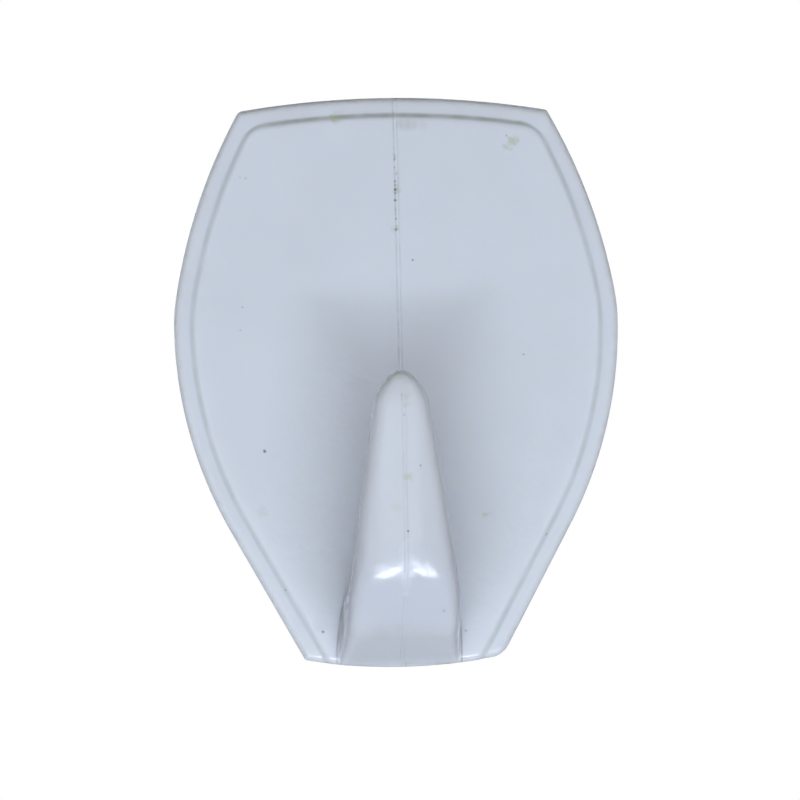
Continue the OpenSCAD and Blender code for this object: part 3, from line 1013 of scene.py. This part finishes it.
dress(moulding, plastic, colour, gloss, relief(tree, skin, 0.55, 0.00006))
print(f"white plastic: {len(tree.nodes)} nodes")

# %% [markdown]
# ## Foam
# The foam core is matte and off-white, and it shows its cells. A scatter of points stands for their
# middles. The wall between two cells is farthest from any of them, so the one distance raises the relief,
# sets the roughness and paints the sunk middles darker: painted shade in the hollows, over a random tone.

# %% Foam
foam_finish, tree, in_mm = new_finish("foam")
foam_dark = (0.72, 0.72, 0.69, 1)
foam_pale = (0.86, 0.86, 0.84, 1)
foam_cells = scatter(tree, in_mm, 3.2)
foam_shade = total(tree, foam_cells, product(tree, noise(tree, in_mm, 0.5), 0.5))
# painted shade: the sunk cell middles are darker, with a random tone
foam_colour = lay_over(tree, remap(tree, foam_shade, 0.2, 1.0), foam_dark, foam_pale)
foam_rough = remap(tree, foam_cells, 0.0, 0.6, 0.95, 0.75)
dress(foam_pad, foam_finish, foam_colour, foam_rough, relief(tree, foam_cells, 0.8, 0.00012))
print(f"foam: {len(tree.nodes)} nodes")

# %% [markdown]
# ## Adhesive
# The adhesive is a tacky film on both faces of the foam: glossy, slightly yellow, of uneven thickness
# and with a few trapped air bubbles. The two coats keep their CAD solids, which are flat sheets as the
# real ones are, and wear one finish.

# %% Adhesive
adhesive, tree, in_mm = new_finish("adhesive")
tack_deep = (0.80, 0.77, 0.63, 1)
tack_thin = (0.88, 0.86, 0.77, 1)
bubble_pale = (0.93, 0.92, 0.88, 1)
tack = noise(tree, in_mm, 0.22, 4.0, 0.6)
bubbles = remap(tree, scatter(tree, in_mm, 0.75), 0.16, 0.1)
tack_colour = lay_over(tree, remap(tree, tack, 0.35, 0.65), tack_deep, tack_thin)
tack_colour = lay_over(tree, product(tree, bubbles, 0.5), tack_colour, bubble_pale)
tack_rough = remap(tree, tack, 0.3, 0.7, 0.1, 0.3)
tack_normal = relief(tree, total(tree, tack, product(tree, bubbles, 0.4)), 0.6, 0.0001)
for node in ("plate_side_adhesive", "wall_side_adhesive"):
    dress(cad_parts[node], adhesive, tack_colour, tack_rough, tack_normal)
print(f"adhesive: {len(tree.nodes)} nodes, on both coats")

# %% [markdown]
# ## Liner paper
# The liner is brown kraft paper under a thin release coat, so long fibres show through a soft sheen.
# Noise that is stretched along the sheet makes the fibres, and slower noise the cloudy pulp. It reads
# the object's own coordinates, so the grain has its real size and stays put when the liner moves.

# %% Liner paper
paper, tree, in_mm = new_finish("liner_paper")
kraft_dark = (0.64, 0.50, 0.29, 1)
kraft_pale = (0.83, 0.70, 0.46, 1)
fibres = noise(tree, stretched(tree, in_mm, 0.2, (2.6, 1.0, 0.25)), 1.4, 4.0, 0.65)
pulp = noise(tree, in_mm, 0.28, 3.0, 0.6)
paper_mix = total(tree, product(tree, fibres, 0.65), product(tree, pulp, 0.35))
paper_colour = lay_over(tree, remap(tree, paper_mix, 0.36, 0.64), kraft_dark, kraft_pale)
paper_rough = remap(tree, fibres, 0.35, 0.65, 0.36, 0.52)
dress(liner_sheet, paper, paper_colour, paper_rough, relief(tree, paper_mix, 0.35, 0.00005))
print(f"liner paper: {len(tree.nodes)} nodes")

# %% [markdown]
# ## Studio
# The photograph is a product shot on white. To the camera the room is plain white; to the hook it is
# dim, a little lighter at the hook's own level than above and below, so that the lamps do the shading.

# %% Backdrop
world = bpy.data.worlds.new("studio")
bpy.context.scene.world = world
bpy.context.scene.view_settings.view_transform = "Standard"
world.use_nodes = True
tree = world.node_tree
room = add_node(tree, "TexCoord").outputs["Generated"]
off_level = maths(tree, "ABSOLUTE", add_node(tree, "SeparateXYZ", {0: room}).outputs["Z"])
room_light = remap(tree, off_level, 0.0, 0.7, 0.12, 0.02)
to_camera = add_node(tree, "LightPath").outputs["Is Camera Ray"]
backdrop = tree.nodes["Background"]
backdrop.inputs["Color"].default_value = (1, 1, 1, 1)
tree.links.new(remap(tree, to_camera, 0.0, 1.0, room_light, 1.0), backdrop.inputs["Strength"])
print("backdrop: white to the camera, a dim room to the hook")

# %% [markdown]
# The shadow over the prong's tip is soft but has a level top, as over one long straight lamp below the
# lens. So the key light is a row of five panels at one level, the outer ones a little stronger. A low
# panel in front and a small warm one from above lighten the shadows. The bright spots on the bend are
# the mirror image of three more panels in a low arch, which are hidden from the matte part of every
# finish and so can be placed for their reflection alone. Dim panels beside and behind serve other views.

# %% Lamps


def toward(azimuth, elevation, distance):
    """Place in metres at an azimuth and elevation in degrees as seen from the hook, at a distance."""
    az = np.radians(azimuth)
    el = np.radians(elevation)
    return distance * np.array([np.sin(az) * np.cos(el), -np.cos(az) * np.cos(el), np.sin(el)])


def panel_light(name, place, width, height, watts, colour=(1, 1, 1)):
    """Soft rectangular light at a place in metres, level, that faces the hook."""
    data = bpy.data.lights.new(name, "AREA")
    data.shape = "RECTANGLE"
    data.size = width
    data.size_y = height
    data.energy = watts
    data.color = colour
    lamp = new_object(name, data)
    back_axis = place / np.linalg.norm(place)
    level_axis = np.cross([0, 0, 1], back_axis)
    level_axis = level_axis / np.linalg.norm(level_axis)
    upright = np.cross(back_axis, level_axis)
    stand(lamp, np.stack([level_axis, upright, back_axis]), place)
    lamp.visible_camera = False
    return lamp


sky_tint = (0.93, 1.0, 1.13)
warm_tint = (1.04, 1.0, 0.92)
key_size = (0.41, 0.12)
glint_size = (0.40, 0.18)
glint_watts = 5.0
for number, key_x in enumerate((-0.80, -0.42, -0.02, 0.38, 0.76)):
    key_place = np.array([key_x, -1.22, -0.87])
    key_watts = 2.69 + 2.2 * key_x**2
    key = panel_light(f"key_{number}", key_place, *key_size, key_watts, sky_tint)
    key.visible_glossy = False
for number, (glint_x, glint_z) in enumerate(((-0.30, -0.84), (0.1, -0.71), (0.50, -0.84))):
    glint_place = np.array([glint_x, -1.30, glint_z])
    glint = panel_light(f"glint_{number}", glint_place, *glint_size, glint_watts, sky_tint)
    glint.visible_diffuse = False
panel_light("low_front", toward(-1, -17, 1.5), 1.0, 0.69, 2.85, sky_tint)
panel_light("fill", toward(0, 35, 0.6), 0.8, 0.5, 0.62, warm_tint)
around = {"left": (-78, 0.5), "right": (78, 0.45), "back_left": (-135, 0.7), "back_right": (135, 0.7)}
for name, (azimuth, watts) in around.items():
    beside = panel_light(name, toward(azimuth, 6, 0.8), 0.55, 0.55, watts)
    beside.visible_glossy = False
panel_light("behind", toward(180, 20, 0.8), 0.9, 0.6, 2.5)
print(f"lamps: {len(bpy.data.lights)}")

# %% [markdown]
# The hook hangs free in the picture, so the floor is well below the frame: a plain pale board that gives
# back a little light from underneath. The lamps hardly reach it, so it is lifted to a pale tone for the
# camera, and for the hook it stays as dim as it is. It isn't part of the object.

# %% Floor
floor_z = -0.6
floor_half = 0.6
floor_near = -0.25
floor_far = 0.8
board_lift = 0.42
floor_corners = [
    (-floor_half, floor_near, floor_z), (floor_half, floor_near, floor_z),
    (floor_half, floor_far, floor_z), (-floor_half, floor_far, floor_z)]
floor_mesh = bpy.data.meshes.new("floor")
floor_mesh.from_pydata(floor_corners, [], [(0, 1, 2, 3)])
floor = new_object("floor", floor_mesh)
board, tree, in_mm = new_finish("pale_board")
board_shade = noise(tree, in_mm, 0.02, 3.0)
board_colour = lay_over(tree, board_shade, (0.78, 0.78, 0.77, 1), (0.84, 0.84, 0.83, 1))
board_rough = remap(tree, board_shade, 0.3, 0.7, 0.7, 0.8)
dress(floor, board, board_colour, board_rough, relief(tree, board_shade, 0.2, 0.0005))
seen_light = add_node(tree, "LightPath").outputs["Is Camera Ray"]
board_shader = tree.nodes["Principled BSDF"]
board_shader.inputs["Emission Color"].default_value = (1, 1, 1, 1)
tree.links.new(product(tree, seen_light, board_lift), board_shader.inputs["Emission Strength"])
board.cycles.emission_sampling = "NONE"
print(f"floor: {-floor_z:.1f} m below the hook")
